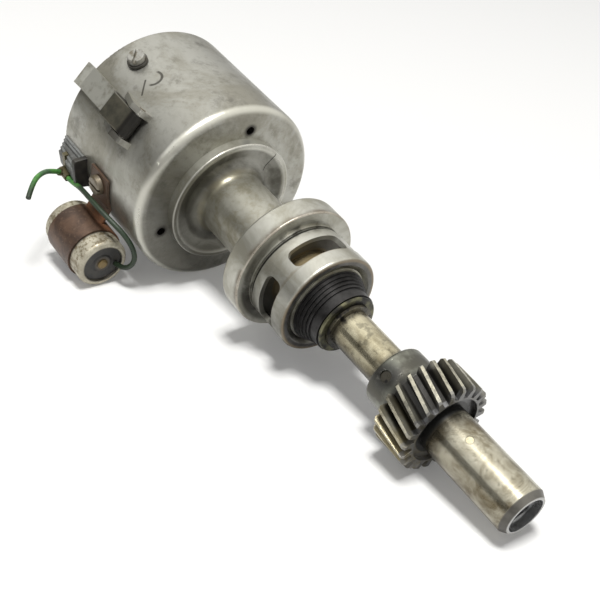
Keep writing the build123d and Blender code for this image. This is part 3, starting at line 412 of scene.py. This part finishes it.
def shank_metal():
    """Die-cast and machined shank: bright edges, on the ring flange also a painted highlight; brown oil in the
    dish, the groove and the windows; painted shade mixed with that oil in the groove, round the collar's corner
    and on the lower-left side of the ring flange, dish, seat and sleeve.
    """
    f = Finish("shank_metal")
    clouds = f.noise(55, detail=6, rough=0.64, bend=0.6)
    fine = f.noise(420, detail=4, rough=0.6)
    turned = f.noise(1.0, detail=3, rough=0.6, place=f.wrapped(0.12, 5200))
    bare, thin_oil, groove_oil_and_shade = (0.50, 0.495, 0.445), (0.24, 0.225, 0.17), (0.014, 0.013, 0.011)
    f.ground(clouds.rise(0.38, 0.64) * 0.75, bare, thin_oil)

    polish_and_highlight, oil_and_shade_in_dish = (0.52, 0.51, 0.46), (0.07, 0.067, 0.055)
    split, neck_oil = (0.02, 0.018, 0.014), (0.18, 0.16, 0.10)
    # Painted highlight, with rubbed polish, on the ring flange's rim and lip.
    ring_edge = f.away.bell(0.0240, 0.0006) * f.z.bell(0.0402, 0.001)
    lip = f.away.bell(0.0225, 0.0006) * f.z.bell(0.0403, 0.001)
    f.over((ring_edge + lip).held() * 0.8, polish_and_highlight)
    # Painted shade on the lower-left side of the ring flange and the dish; the same colour darkens the whole dish
    # as oil below.
    shaded = f.turn.bell(-80, 130) * f.z.rise(0.0375, 0.0385)
    f.over(shaded * 0.72, oil_and_shade_in_dish)
    dish = f.away.rise(0.0222, 0.0212) * f.z.rise(0.0385, 0.0395)
    f.over(dish * (clouds.rise(0.30, 0.62) * 0.35 + 0.45), oil_and_shade_in_dish)
    crack = abs(f.x + 0.0044 - (f.y - 0.0155) * 0.321).rise(0.00028, 0.00008) * f.z.rise(0.0370, 0.0380)
    crack = crack * f.y.rise(0.0150, 0.0158) * f.y.rise(0.0236, 0.0228)
    f.over(crack, split)
    neck = f.away.rise(0.0145, 0.0130) * f.z.rise(0.0095, 0.012)
    f.over(neck * (fine * 0.4 + clouds * 0.6).rise(0.42, 0.62) * 0.4 + neck * 0.25, neck_oil)

    rubbed_brown, rubbed_edge, corner_oil_and_shade_colour = (0.11, 0.08, 0.05), (0.46, 0.42, 0.35), (0.03, 0.027, 0.022)
    collar_side = f.away.rise(0.0228, 0.0234) * f.z.rise(0.0095, 0.0085)
    worn = collar_side * f.z.rise(0.0026, 0.0006) * f.noise(160, detail=5).rise(0.3, 0.6)
    f.over(worn * 0.85, rubbed_brown)
    edge = collar_side * f.z.bell(0.0002, 0.0007)
    f.over(edge * 0.6, rubbed_edge)
    # Painted shade with oil: the undercut groove black.
    groove = f.z.bell(-0.0016, 0.0011) * f.away.rise(0.0199, 0.0190)
    f.over(groove, groove_oil_and_shade)
    # Dark mottled band round the collar's corner by the groove: oil and painted shade.
    corner_oil_and_shade_band = f.z.bell(-0.0012, 0.0034) * f.away.rise(0.0205, 0.0195) * f.noise(120, detail=5).rise(0.48, 0.60)
    f.over(corner_oil_and_shade_band * 0.85, corner_oil_and_shade_colour)

    window_dark, wall_brown, boss_gold = (0.04, 0.033, 0.02), (0.17, 0.115, 0.05), (0.26, 0.20, 0.10)
    hollow = f.away.rise(0.0172, 0.0168) * f.z.rise(-0.0135, -0.0131) * f.z.rise(0.0, -0.0045)
    f.over(hollow * 0.75, window_dark)
    lower_wall = f.away.rise(0.0189, 0.0184) * f.z.rise(-0.0122, -0.0131) * f.z.rise(-0.0150, -0.0138)
    f.over(lower_wall * clouds.rise(0.25, 0.5) * 0.8, wall_brown)
    boss_side = hollow * f.away.rise(0.0128, 0.0120)
    f.over(boss_side * clouds.rise(0.25, 0.5) * 0.85, boss_gold)

    sleeve_shade_and_oil, seat_face_oil_and_shade, rim_brown = (0.036, 0.033, 0.025), (0.03, 0.027, 0.021), (0.28, 0.22, 0.14)
    # Painted shade, mottled with oil, on the sleeve's lower-left side.
    sleeve = f.z.rise(-0.0020, -0.0030) * f.turn.bell(-85, 110)
    f.over(sleeve * (clouds.rise(0.3, 0.6) * 0.35 + 0.6), sleeve_shade_and_oil)
    # Painted shade with oil on the lower-left side of the seat's face.
    oil_shade_on_seat_face = f.z.bell(0.0, 0.0005) * f.away.rise(0.0226, 0.0208) * f.turn.bell(-60, 110)
    f.over(oil_shade_on_seat_face * clouds.rise(0.2, 0.5) * 0.85, seat_face_oil_and_shade)
    boss = f.z.rise(-0.0190, -0.0196)
    f.over(boss * 0.94, f.mix(fine.rise(0.35, 0.65), (0.028, 0.027, 0.028), (0.075, 0.073, 0.075)))
    ridge = f.away.rise(0.0155, 0.0145) * boss
    f.over(ridge * 0.7, (0.020, 0.019, 0.019))
    rim = f.away.bell(0.0182, 0.0009) * f.z.bell(-0.0193, 0.0006)
    f.over(rim * 0.7, rim_brown)
    return f.wear(roughness=0.23 + clouds * 0.20 + fine * 0.1 - (ring_edge + lip + edge).held() * 0.1,
                  metallic=0.80 - worn * 0.3 - hollow * 0.4 - clouds.rise(0.5, 0.7) * 0.15,
                  normal=f.bump(turned * 0.35 + fine * 0.9 + clouds * 1.5, 0.00007, 0.7))


def oily_bronze():
    """Bush and washer bronze, green-brown under black oil, cleaner at the upper bush."""
    f = Finish("oily_bronze")
    clouds = f.noise(220, detail=5)
    f.ground(clouds.rise(0.35, 0.6), (0.15, 0.145, 0.085), (0.022, 0.021, 0.018))
    upper = f.z.rise(0.029, 0.031)
    f.over(upper * 0.6, (0.30, 0.22, 0.09))
    return f.wear(roughness=0.26 + clouds * 0.25, metallic=0.7,
                  normal=f.bump(f.noise(900, detail=3), 0.00004, 0.6))


def shaft_steel():
    """Ground shaft under old yellow-brown oil, black in the corners and round the gear's pin, with painted shade
    on its low side.
    """
    f = Finish("shaft_steel")
    clouds = f.noise(150, detail=6, rough=0.6, place=f.stretched((1, 1, 0.6)))
    rings = f.noise(1.0, detail=3, rough=0.6, place=f.wrapped(0.05, 4200))
    f.ground(clouds.rise(0.34, 0.68), (0.56, 0.515, 0.37), (0.19, 0.16, 0.095))
    # Painted shade on the shaft's low side.
    side_in_painted_shade = f.turn.bell(-90, 115)
    f.over(side_in_painted_shade * 0.95, (0.032, 0.028, 0.02))
    black = f.noise(320, detail=5).rise(0.52, 0.66)
    corners = f.z.bell(-0.0300, 0.0045).most(f.z.bell(-0.0536, 0.0035)).most(f.away.rise(0.0088, 0.0094))
    f.over((black * 0.45 + corners * 0.9).held(), (0.010, 0.009, 0.008))
    return f.wear(roughness=0.17 + clouds * 0.20, metallic=0.88 - corners * 0.6,
                  normal=f.bump(rings * 0.5 + clouds * 0.9, 0.00005, 0.6))


def gear_steel():
    """Hobbed gear: black oil and painted shade between the teeth, worn crests, a bronze tint on some teeth."""
    f = Finish("gear_steel")
    fine = f.noise(380, detail=5, rough=0.6)
    clouds = f.noise(110, detail=5)
    f.ground(clouds.rise(0.35, 0.65), (0.30, 0.29, 0.245), (0.14, 0.13, 0.10))

    teeth_gap_oil_and_shade, worn_crest = (0.009, 0.008, 0.007), (0.54, 0.51, 0.40)
    bronze_tint, end_grey = (0.32, 0.265, 0.13), (0.20, 0.20, 0.205)
    toothed = f.z.rise(-0.0649, -0.0653)
    # Black oil and painted shade between the teeth.
    gap = toothed * f.away.rise(0.0160, 0.0142) * f.z.rise(-0.0797, -0.0793)
    f.over(gap * 0.95, teeth_gap_oil_and_shade)
    crest = toothed * f.away.rise(0.01640, 0.01656)
    f.over(crest * fine.rise(0.32, 0.56) * 0.75, worn_crest)
    tint = toothed * f.turn.bell(-70, 80) * clouds.rise(0.35, 0.55)
    f.over(tint * 0.5, bronze_tint)
    end_face = f.z.rise(-0.0776, -0.0780) * f.away.rise(0.0098, 0.0104)
    f.over(end_face * fine.rise(0.3, 0.6) * 0.7, end_grey)
    seat = f.z.rise(-0.0774, -0.0778) * f.away.rise(0.0104, 0.0098)
    f.over(seat, (0.008, 0.008, 0.007))

    hub = f.z.rise(-0.0652, -0.0648)
    f.over(hub * 0.9, f.mix(clouds.rise(0.4, 0.6), (0.20, 0.205, 0.17), (0.075, 0.073, 0.06)))
    from_pin = ((f.y ** 2) + (f.z - GEAR_PIN_HEIGHT) ** 2) ** 0.5
    sludge = hub * (from_pin.rise(0.0068, 0.0026) * 0.85 + f.z.bell(-0.0645, 0.0026) * 0.9).held()
    sludge = (sludge * fine.rise(0.26, 0.42)).held()
    f.over(sludge * 0.96, (0.008, 0.0075, 0.007))
    return f.wear(roughness=0.24 + fine * 0.16 - crest * 0.05 + sludge * 0.08,
                  metallic=0.72 - sludge * 0.6 - gap * 0.3,
                  normal=f.bump(fine * 0.9 + sludge * 2.5, 0.00012, 0.8))


def journal_steel():
    """Ground tube, worn smooth and bright by running, with brown mottled stains, and a brown stain with painted
    shade on its lower-left side.
    """
    f = Finish("journal_steel")
    clouds = f.noise(90, detail=6, rough=0.65, bend=0.8)
    rings = f.noise(1.0, detail=4, rough=0.65, place=f.wrapped(0.03, 3800))
    fine = f.noise(600, detail=4)
    f.ground(clouds.rise(0.36, 0.62), (0.46, 0.435, 0.345), (0.17, 0.14, 0.085))
    f.over(fine.rise(0.55, 0.70) * 0.35, (0.075, 0.058, 0.032))
    # Brown stain with painted shade on the tube's lower-left side.
    side_in_painted_shade = f.turn.bell(-50, 75)
    f.over(side_in_painted_shade * (clouds.rise(0.3, 0.6) * 0.3 + 0.35), (0.12, 0.10, 0.065))
    oil = f.z.rise(-0.0900, -0.0800) * f.noise(140, detail=5).rise(0.32, 0.52)
    f.over(oil * 0.85, (0.028, 0.024, 0.017))
    seat = f.z.rise(-0.0812, -0.0798)
    f.over(seat, (0.008, 0.008, 0.007))
    chamfer = f.z.rise(-0.1124, -0.1130) * f.away.rise(0.0070, 0.0073)
    f.over(chamfer * 0.85, (0.085, 0.082, 0.08))
    face = f.z.rise(-0.11475, -0.11485)
    f.over(face * 0.8, (0.38, 0.38, 0.375))
    mouth = f.away.rise(0.00665, 0.0064)
    f.over(mouth * 0.8, (0.50, 0.51, 0.53))
    round_pin = f.spot(JOURNAL_PIN, 0.0016, 0.75) - f.spot(JOURNAL_PIN, 0.0011, 0.8)
    f.over(round_pin.held() * 0.6, (0.04, 0.035, 0.025))
    return f.wear(roughness=0.14 + clouds * 0.17 + fine * 0.06 + chamfer * 0.15 + seat * 0.2,
                  metallic=0.82 - seat * 0.6,
                  normal=f.bump(rings * 0.6 + clouds * 0.7 + fine * 0.3, 0.00004, 0.6))


def pressed_steel(name, clean, stain, rough=0.4):
    """Plain worked steel with stains, for the parts inside the bowl."""
    f = Finish(name)
    clouds = f.noise(160, detail=5, rough=0.6, bend=0.3)
    fine = f.noise(960, detail=3)
    f.ground(clouds.rise(0.40, 0.68) * 0.85, clean, stain)
    f.over(fine.rise(0.62, 0.72) * 0.4, tuple(c * 0.4 for c in stain))
    return f.wear(roughness=rough - 0.06 + clouds * 0.18, metallic=0.65,
                  normal=f.bump(fine * 0.7 + clouds * 0.6, 0.00004, 0.6))


def clip_steel():
    """Spring strip gone olive-brown, edges rubbed lighter, painted shade black over the roll round the pin and
    dark on the inner leaf below the tongue.
    """
    f = Finish("clip_steel")
    clouds = f.noise(170, detail=6, rough=0.62)
    fine = f.noise(900, detail=3)
    outer = abs(f.x).rise(0.0385, 0.0392) * f.z.rise(0.081, 0.080)
    pale = f.mix(clouds.rise(0.45, 0.7), (0.42, 0.415, 0.37), (0.20, 0.19, 0.15))
    olive = f.mix(clouds.rise(0.35, 0.62), (0.060, 0.058, 0.045), (0.105, 0.097, 0.072))
    f.ground(outer, pale, olive)
    rubbed = abs(f.y).rise(0.0041, 0.0045) * clouds.rise(0.35, 0.55)
    f.over(rubbed * 0.5, (0.30, 0.285, 0.235))
    # Painted shade: the roll round the pin black.
    roll = f.z.rise(0.0668, 0.0650)
    f.over(roll * 0.9, (0.010, 0.009, 0.008))
    # Painted shade: the inner leaf darker where it runs below the tongue.
    tucked = f.z.rise(0.0830, 0.0800) * abs(f.x).rise(0.0386, 0.0380)
    f.over(tucked * 0.75, (0.03, 0.028, 0.022))
    return f.wear(roughness=0.32 + clouds * 0.2, metallic=0.6, normal=f.bump(fine * 0.6 + clouds, 0.00004, 0.6))


def small_steel():
    """Screws, washers and pins: grey where turned, painted shade under the heads, brown at the condenser."""
    f = Finish("small_steel")
    clouds = f.noise(420, detail=5)
    f.ground(clouds.rise(0.38, 0.62), (0.38, 0.375, 0.345), (0.18, 0.16, 0.12))
    # Painted shade under the screw heads, on the washers next to the wall.
    washer = f.away.rise(0.0378, 0.0371) * f.z.rise(0.080, 0.083)
    f.over(washer * 0.85, (0.028, 0.026, 0.022))
    condenser_screw = f.spot(SCREW_HEAD, 0.009, 0.6)
    f.over(condenser_screw * 0.75, (0.15, 0.115, 0.07))
    return f.wear(roughness=0.30 + clouds * 0.25, metallic=0.65, normal=f.bump(clouds, 0.00006, 0.6))


def dull_brass():
    """Brass of the terminals: plain inside the bowl, black with oil outside, brown at the rivet."""
    f = Finish("dull_brass")
    clouds = f.noise(300, detail=5, rough=0.6, bend=0.3)
    f.ground(clouds.rise(0.40, 0.68) * 0.85, (0.50, 0.36, 0.14), (0.20, 0.14, 0.065))
    outside = f.away.rise(0.0360, 0.0375)
    f.over(outside * 0.85, (0.075, 0.075, 0.05))
    rivet = f.z.rise(0.0560, 0.0550) * outside
    f.over(rivet * 0.8, (0.20, 0.14, 0.06))
    return f.wear(roughness=0.32 + clouds * 0.18, metallic=0.65, normal=f.bump(clouds, 0.00004, 0.6))


def moulding(name, colour, dirt, gloss):
    """Moulded insulation with handling dirt."""
    f = Finish(name)
    grain = f.noise(260, detail=5)
    fine = f.noise(1300, detail=2)
    f.ground(grain.rise(0.42, 0.66) * 0.8, colour, dirt)
    return f.wear(roughness=gloss + grain * 0.18, normal=f.bump(fine * 0.5 + grain, 0.00006, 0.6))


def black_moulding():
    """Black insulation, browned round the rivet in the middle of the condenser's disc."""
    f = Finish("black_moulding")
    grain = f.noise(260, detail=5)
    f.ground(grain.rise(0.42, 0.66) * 0.7, (0.016, 0.015, 0.014), (0.045, 0.041, 0.033))
    browned = f.spot((CAN_X, CAN_Y, DISC_HEIGHT), 0.0034, 0.55)
    f.over(browned * 0.85, (0.11, 0.085, 0.05))
    return f.wear(roughness=0.38 + grain * 0.2, normal=f.bump(grain, 0.00006, 0.6))


def terminal_grey():
    """Grey moulding, mottled with dirt and dusty on its top edge."""
    f = Finish("terminal_grey")
    grain = f.noise(330, detail=5)
    f.ground(grain.rise(0.40, 0.65), (0.17, 0.175, 0.17), (0.08, 0.08, 0.075))
    top = f.z.rise(0.0972, 0.0980)
    f.over(top * 0.5, (0.21, 0.21, 0.20))
    return f.wear(roughness=0.42 + grain * 0.2, normal=f.bump(grain, 0.0001, 0.6))


def can_metal():
    """Drawn can: cream speckled ends, side dulled by heat, painted shadow lines at the strap's edges."""
    f = Finish("can_metal")
    speck = f.noise(520, detail=6, rough=0.7)
    clouds = f.noise(120, detail=5)
    f.ground(speck.rise(0.46, 0.60), (0.52, 0.485, 0.385), (0.22, 0.185, 0.12))
    f.over(clouds.rise(0.48, 0.68) * 0.6, (0.15, 0.12, 0.075))
    end = f.z.rise(0.0545, 0.0535)
    f.over(end * speck.rise(0.3, 0.6) * 0.5, (0.56, 0.53, 0.43))
    # Painted shadow lines along the strap's edges.
    strap_edges = f.z.bell(STRAP_LOW, 0.0009).most(f.z.bell(STRAP_HIGH, 0.0009))
    f.over(strap_edges * 0.85, (0.02, 0.017, 0.013))
    from_centre = f.gap(f.stretched((1, 1, 0)), (CAN_X, CAN_Y, 0.0))
    lip = f.z.rise(0.0548, 0.0532) * from_centre.rise(0.0080, 0.0074)
    f.over(lip * 0.9, (0.018, 0.016, 0.013))
    return f.wear(roughness=0.34 + speck * 0.22, metallic=0.4,
                  normal=f.bump(speck + clouds * 0.5, 0.00008, 0.7))


def strap_metal():
    """Clamp strap under old brown lacquer, redder towards the bowl and black on the bowl's wall."""
    f = Finish("strap_metal")
    clouds = f.noise(130, detail=6, rough=0.65, bend=0.4)
    fine = f.noise(800, detail=4)
    f.ground(clouds.rise(0.36, 0.62), (0.125, 0.075, 0.05), (0.062, 0.038, 0.027))
    f.over(fine.rise(0.56, 0.7) * 0.5, (0.17, 0.11, 0.075))
    near_bowl = f.away.rise(0.0445, 0.0400)
    f.over(near_bowl * clouds.rise(0.3, 0.6) * 0.8, (0.24, 0.105, 0.048))
    on_bowl = f.away.rise(0.0392, 0.0382)
    f.over(on_bowl * 0.8, (0.075, 0.052, 0.036))
    return f.wear(roughness=0.34 + clouds * 0.2, metallic=0.38 - clouds * 0.15,
                  normal=f.bump(fine * 0.6 + clouds, 0.00008, 0.7))


def sleeving():
    """Woven green sleeving, bright at the terminal, greyer where it is handled, dark with oil lower down."""
    f = Finish("green_sleeving")
    weave = f.noise(2600, detail=2)
    clouds = f.noise(260, detail=5)
    f.ground(clouds.rise(0.35, 0.65), (0.10, 0.30, 0.06), (0.04, 0.155, 0.04))
    low = f.z.rise(0.0840, 0.0760)
    f.over(low * 0.95, (0.012, 0.018, 0.011))
    handled = f.x.bell(0.0350, 0.0060)
    f.over(handled * 0.7, (0.085, 0.125, 0.095))
    return f.wear(roughness=0.42 + clouds * 0.2, normal=f.bump(weave + clouds, 0.0001, 0.7))


finishes = {
    "bowl_alloy": bowl_alloy(),
    "shank_metal": shank_metal(),
    "bronze": oily_bronze(),
    "shaft_steel": shaft_steel(),
    "gear_steel": gear_steel(),
    "journal_steel": journal_steel(),
    "advance_steel": pressed_steel("advance_steel", (0.42, 0.41, 0.38), (0.20, 0.17, 0.12)),
    "cam_steel": pressed_steel("cam_steel", (0.40, 0.40, 0.39), (0.17, 0.15, 0.12), rough=0.28),
    "rotor_moulding": moulding("rotor_moulding", (0.028, 0.026, 0.025), (0.055, 0.05, 0.045), gloss=0.3),
    "brass": dull_brass(),
    "plate_steel": pressed_steel("plate_steel", (0.52, 0.51, 0.46), (0.26, 0.22, 0.15)),
    "small_steel": small_steel(),
    "fibre": moulding("fibre", (0.17, 0.075, 0.032), (0.09, 0.042, 0.022), gloss=0.5),
    "anchor_moulding": black_moulding(),
    "clip_steel": clip_steel(),
    "terminal_moulding": terminal_grey(),
    "can_metal": can_metal(),
    "strap_metal": strap_metal(),
    "green_sleeving": sleeving(),
}

node_slots = {part["node"]: part["material_slot"] for part in frame["record"]["subparts"]}
for name, node in frame["nodes"].items():
    for index in range(len(node.material_slots)):
        node.material_slots[index].material = finishes[node_slots[name]]
for piece in (condenser_lead, lead_stub, inner_lead):
    piece.data.materials.append(finishes["green_sleeving"])
terminal_block.data.materials.append(finishes["terminal_moulding"])
terminal_plate.data.materials.append(finishes["anchor_moulding"])


# ---------------------------------------------------------------- floor

FLOOR_HEIGHT, FLOOR_HALF_SIZE, FLOOR_GLOW = -0.02854, 1.6, 0.12
up = Vector((0.5822, 0.7987, 0.1525)).normalized()


def white_floor():
    """White to the camera, with the object's shadow on it; plain pale matter to the light; clear from below."""
    f = Finish("floor_white")
    f.tree.nodes.remove(f.shader)
    seen = f.ray("Camera").most(f.ray("Glossy")).most(f.ray("Transmission"))
    matt = f.node("ShaderNodeBsdfDiffuse", None, {"Color": (0.80, 0.80, 0.80)})
    glow = f.node("ShaderNodeEmission", None, {"Color": (1.0, 1.0, 1.0), "Strength": FLOOR_GLOW})
    whiter = f.node("ShaderNodeAddShader", None, {0: matt, 1: glow})
    front = f.node("ShaderNodeMixShader", None, {0: seen, 1: matt, 2: whiter})
    below = f.node("ShaderNodeNewGeometry", out="Backfacing")
    clear = f.node("ShaderNodeBsdfTransparent")
    f.show("Material Output", f.node("ShaderNodeMixShader", None, {0: below, 1: front, 2: clear}))
    return f.material


sheet = bmesh.new()
bmesh.ops.create_grid(sheet, x_segments=1, y_segments=1, size=FLOOR_HALF_SIZE)
bmesh.ops.transform(sheet, verts=sheet.verts,
                    matrix=Matrix.Translation(up * FLOOR_HEIGHT) @ up.to_track_quat("Z", "Y").to_matrix().to_4x4())
floor_mesh = bpy.data.meshes.new("floor")
sheet.to_mesh(floor_mesh)
sheet.free()
floor = bpy.data.objects.new("floor", floor_mesh)
floor_mesh.materials.append(white_floor())
bpy.context.scene.collection.objects.link(floor)


# ---------------------------------------------------------------- world

DARKEST_ROOM, BRIGHTEST_ROOM, EVEN_LIGHT = 0.05, 1.35, 0.27

world = bpy.data.worlds.new("studio")
bpy.context.scene.world = world
world.use_nodes = True
sky = Nodes(world.node_tree)
lit_from = (up * 0.9 + right * 0.45).normalized()
towards_light = sky.node("ShaderNodeVectorMath", {"operation": "DOT_PRODUCT"},
                         {0: sky.node("ShaderNodeTexCoord", out="Generated"), 1: lit_from}, out="Value")
level = sky.node("ShaderNodeMapRange", {"interpolation_type": "SMOOTHSTEP"},
                 {"Value": towards_light, "From Min": -0.2, "From Max": 0.9,
                  "To Min": DARKEST_ROOM, "To Max": BRIGHTEST_ROOM})
room = sky.node("ShaderNodeBackground", None, {"Color": (1.0, 0.99, 0.96), "Strength": level})
even = sky.node("ShaderNodeBackground", None, {"Color": (1.0, 0.99, 0.97), "Strength": EVEN_LIGHT})
white = sky.node("ShaderNodeBackground", None, {"Color": (1.0, 1.0, 1.0), "Strength": 1.0})
reflected = sky.ray("Glossy").most(sky.ray("Transmission"))
around = sky.node("ShaderNodeMixShader", None, {0: reflected, 1: even, 2: room})
sky.show("World Output", sky.node("ShaderNodeMixShader", None, {0: sky.ray("Camera"), 1: around, 2: white}))


# ---------------------------------------------------------------- lamps

def lamp(name, place, aim, size, watts, colour):
    light = bpy.data.lights.new(name, "AREA")
    light.shape = "SQUARE"
    light.size = size
    light.energy = watts
    light.color = colour
    holder = bpy.data.objects.new(name, light)
    bpy.context.scene.collection.objects.link(holder)
    holder.matrix_world = Matrix.Translation(place) @ (place - aim).to_track_quat("Z", "Y").to_matrix().to_4x4()


along_floor = (right - up * right.dot(up)).normalized()
backwards = up.cross(along_floor)
middle = Vector((0.0, 0.0, -0.01))
overhead = (up - along_floor * 0.05 - backwards * 0.20).normalized()
lamp("overhead", middle + overhead * 1.5, middle, size=0.34, watts=22.5, colour=(1.0, 0.995, 0.97))
lamp("fill", middle + up * 0.45 - right * 0.55 - ahead * 0.35, middle, size=0.50, watts=0.5,
     colour=(0.96, 0.98, 1.0))
bpy.context.scene.view_settings.view_transform = "Standard"
